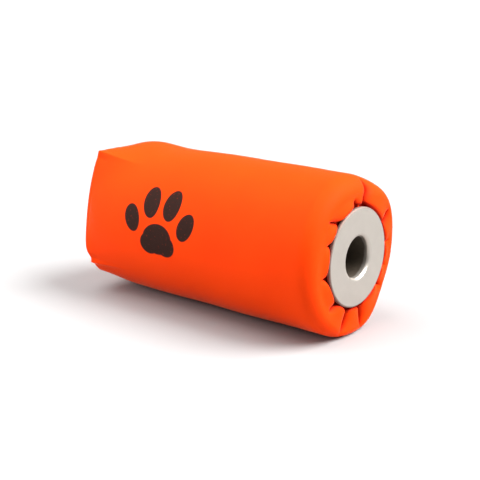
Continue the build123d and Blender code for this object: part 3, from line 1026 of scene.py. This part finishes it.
def foam_paint():
    """Closed-cell foam: rounded cells about a millimetre across."""
    paint = Paint("grey_foam", Roughness=0.9)
    inputs = {"Vector": paint.objects(), "Scale": 1 / (1.1 * MM)}
    cells = paint.node("ShaderNodeTexVoronoi", {}, inputs)
    shade = (cells * 0.8 + paint.cloud(8.0, 2.0) * 0.3).clipped()
    paint.feed("Base Color", paint.mix(shade, (0.24, 0.25, 0.27, 1), (0.40, 0.41, 0.43, 1)))
    paint.bump(cells, 0.7, 0.25)
    return paint.material


def felt_paint():
    """Needled felt: fibres lying two ways, with needle holes."""
    paint = Paint("white_felt", Roughness=0.95, Sheen_Weight=0.3)
    fibres = paint.cloud(0.5, 3.0, (0.1, 1.0, 1.0)) * 0.5 + paint.cloud(0.5, 3.0, (1.0, 0.12, 0.3)) * 0.5
    holes = paint.node("ShaderNodeTexVoronoi", {}, {"Vector": paint.objects(), "Scale": 1 / (2.4 * MM)})
    # Painted shade: the felt is darker in its needle holes.
    pale = (fibres + (0.2 - holes).above(0.0) * -1.5).clipped()
    paint.feed("Base Color", paint.mix(pale, (0.55, 0.53, 0.48, 1), (0.88, 0.87, 0.83, 1)))
    paint.bump(pale, 0.8, 0.3)
    return paint.material


def tape_paint():
    """Woven tape: a twill of threads running along the tube and round it."""
    paint = Paint("orange_tape", Roughness=0.8, Sheen_Weight=0.2)
    x, y, z = paint.place()
    round_it = (z - float(AXIS_Z)).bearing_of(y) * float(BODY_R)
    twill = ((x + round_it) * (2 * math.pi / 0.9)).sine() * 0.5 + 0.5
    ribs = (round_it * (2 * math.pi / 0.5)).sine() * 0.5 + 0.5
    paint.feed("Base Color", paint.mix(twill * 0.6, (0.80, 0.06, 0.004, 1), (0.52, 0.025, 0.002, 1)))
    paint.bump(twill * 0.7 + ribs * 0.3, 0.5, 0.15)
    return paint.material


def thread_paint(name, colour, tint, pitch):
    """Twisted or braided thread: slanting plies and loose fibres."""
    paint = Paint(name, Roughness=0.55, Sheen_Weight=0.15)
    x, y, z = paint.place()
    plies = ((x * 1.4 + y + z * 1.2) * (2 * math.pi / pitch)).sine() * 0.5 + 0.5
    fuzz = paint.cloud(0.3, 2.0)
    paint.feed("Base Color", paint.mix((plies * 0.6 + fuzz * 0.4).clipped(), tint + (1,), colour + (1,)))
    paint.feed("Roughness", fuzz * 0.2 + 0.45)
    paint.bump(plies, 0.6, 0.08)
    return paint.material


nylon = nylon_paint()
flange_metal = turned_paint("flange_metal", (0.60, 0.55, 0.495), 0.34)
tube_metal = drawn_paint("tube_metal", (0.40, 0.375, 0.34), 0.34)
plug_metal = turned_paint("plug_metal", (0.62, 0.62, 0.63), 0.28)
steel_pin = plated_paint("steel_pin", (0.50, 0.50, 0.51), (0.42, 0.42, 0.44), 0.22)
zinc_steel = plated_paint("zinc_steel", (0.58, 0.60, 0.63), (0.48, 0.49, 0.46), 0.25)
black_steel = plated_paint("black_steel", (0.035, 0.035, 0.038), (0.06, 0.058, 0.055), 0.38, 0.7)
black_rubber = moulded_paint("black_rubber", (0.022, 0.022, 0.024), (0.06, 0.06, 0.06), 0.62, 0.4)
hard_plastic = moulded_paint("hard_plastic", (0.045, 0.045, 0.05), (0.09, 0.09, 0.095), 0.42, 0.7)
orange_thread = thread_paint("orange_thread", (0.90, 0.065, 0.004), (0.55, 0.028, 0.002), 0.45)
white_cord = thread_paint("white_cord", (0.80, 0.78, 0.72), (0.50, 0.48, 0.43), 0.8)
grey_foam = foam_paint()
white_felt = felt_paint()
orange_tape = tape_paint()

FINISHES = {
    "mouth_flange": flange_metal,
    "launch_tube": tube_metal,
    "tube_plug": plug_metal,
    "plug_pin": steel_pin,
    "plug_o_ring": black_rubber,
    "buffer_disc": black_rubber,
    "gather_cord": white_cord,
    "backing_washer": zinc_steel,
    "ring_nut": plug_metal,
    "set_screws": black_steel,
    "thrust_disc": hard_plastic,
    "thrust_washer": zinc_steel,
    "lock_washer": zinc_steel,
    "thrust_bolt": zinc_steel,
    "side_seam_tape": orange_tape,
    "end_seam_tape": orange_tape,
    "box_seam_tapes": orange_tape,
    "foam_core": grey_foam,
}
for node, finish in FINISHES.items():
    mesh = frame["nodes"][node].data
    mesh.materials.clear()
    mesh.materials.append(finish)
for piece, finish in (
    (cover_cloth, nylon),
    (padding_felt, white_felt),
    (end_foam, grey_foam),
    (side_stitches, orange_thread),
    (end_stitches, orange_thread),
):
    piece.data.materials.append(finish)

# ---------------------------------------------------------------- floor, light and camera

# The floor reaches this far each way, in metres.
FLOOR = 60.0
floor_mesh = bpy.data.meshes.new("studio_floor")
floor_corners = [(-FLOOR, -FLOOR, 0), (FLOOR, -FLOOR, 0), (FLOOR, FLOOR, 0), (-FLOOR, FLOOR, 0)]
floor_mesh.from_pydata(floor_corners, [], [(0, 1, 2, 3)])
floor = bpy.data.objects.new("studio_floor", floor_mesh)
bpy.context.scene.collection.objects.link(floor)
studio_paper = Paint("studio_paper", Base_Color=(0.33, 0.33, 0.33, 1), Roughness=0.95)
floor_mesh.materials.append(studio_paper.material)

# The room's light: a dome that is brighter overhead.
world = bpy.data.worlds.new("studio")
world.use_nodes = True
tree = world.node_tree
direction = tree.nodes.new("ShaderNodeTexCoord")
height = tree.nodes.new("ShaderNodeSeparateXYZ")
ramp = tree.nodes.new("ShaderNodeMapRange")
ramp.inputs["To Min"].default_value = 0.10
ramp.inputs["To Max"].default_value = 0.66
tree.links.new(direction.outputs["Generated"], height.inputs[0])
tree.links.new(height.outputs["Z"], ramp.inputs["Value"])
tree.links.new(ramp.outputs["Result"], tree.nodes["Background"].inputs["Strength"])
tree.nodes["Background"].inputs["Color"].default_value = (1, 1, 1, 1)
bpy.context.scene.world = world
bpy.context.scene.view_settings.view_transform = "Standard"


def sun(name, towards, strength, spread):
    """A wide soft light from a direction, spread degrees across."""
    lamp = bpy.data.lights.new(name, "SUN")
    lamp.energy = strength * math.pi
    lamp.angle = math.radians(spread)
    light = bpy.data.objects.new(name, lamp)
    bpy.context.scene.collection.objects.link(light)
    light.rotation_euler = Vector(towards).to_track_quat("Z", "Y").to_euler()


def softbox(name, place, target, size, power):
    """An area light at a place, facing a target, both in metres."""
    lamp = bpy.data.lights.new(name, "AREA")
    lamp.shape = "RECTANGLE"
    lamp.size, lamp.size_y = size
    lamp.energy = power
    light = bpy.data.objects.new(name, lamp)
    bpy.context.scene.collection.objects.link(light)
    light.location = place
    light.rotation_euler = (Vector(target) - Vector(place)).to_track_quat("-Z", "Y").to_euler()


sun("front_light", (0.60, 0.35, 0.72), 2.7, 45.0)
sun("left_light", (-0.30, -0.22, 0.93), 0.9, 50.0)
softbox("end_light", (-0.28, -0.26, 0.17), (-0.08, -0.03, 0.04), (0.20, 0.20), 0.9)

camera_data = bpy.data.cameras.new("camera")
camera_data.sensor_width = 36.0
camera_data.lens = 67.5
camera = bpy.data.objects.new("camera", camera_data)
bpy.context.scene.collection.objects.link(camera)
# The camera stands in front of the mouth, to its left and above it, by these millimetres.
ahead_of_mouth, aside, above_axis = 205.6, -335.9, 114.2
camera.location = ((MOUTH_X + ahead_of_mouth) * MM, aside * MM, (AXIS_Z + above_axis) * MM)
camera.rotation_euler = (math.radians(74.81), 0.0, math.radians(39.29))
bpy.context.scene.camera = camera
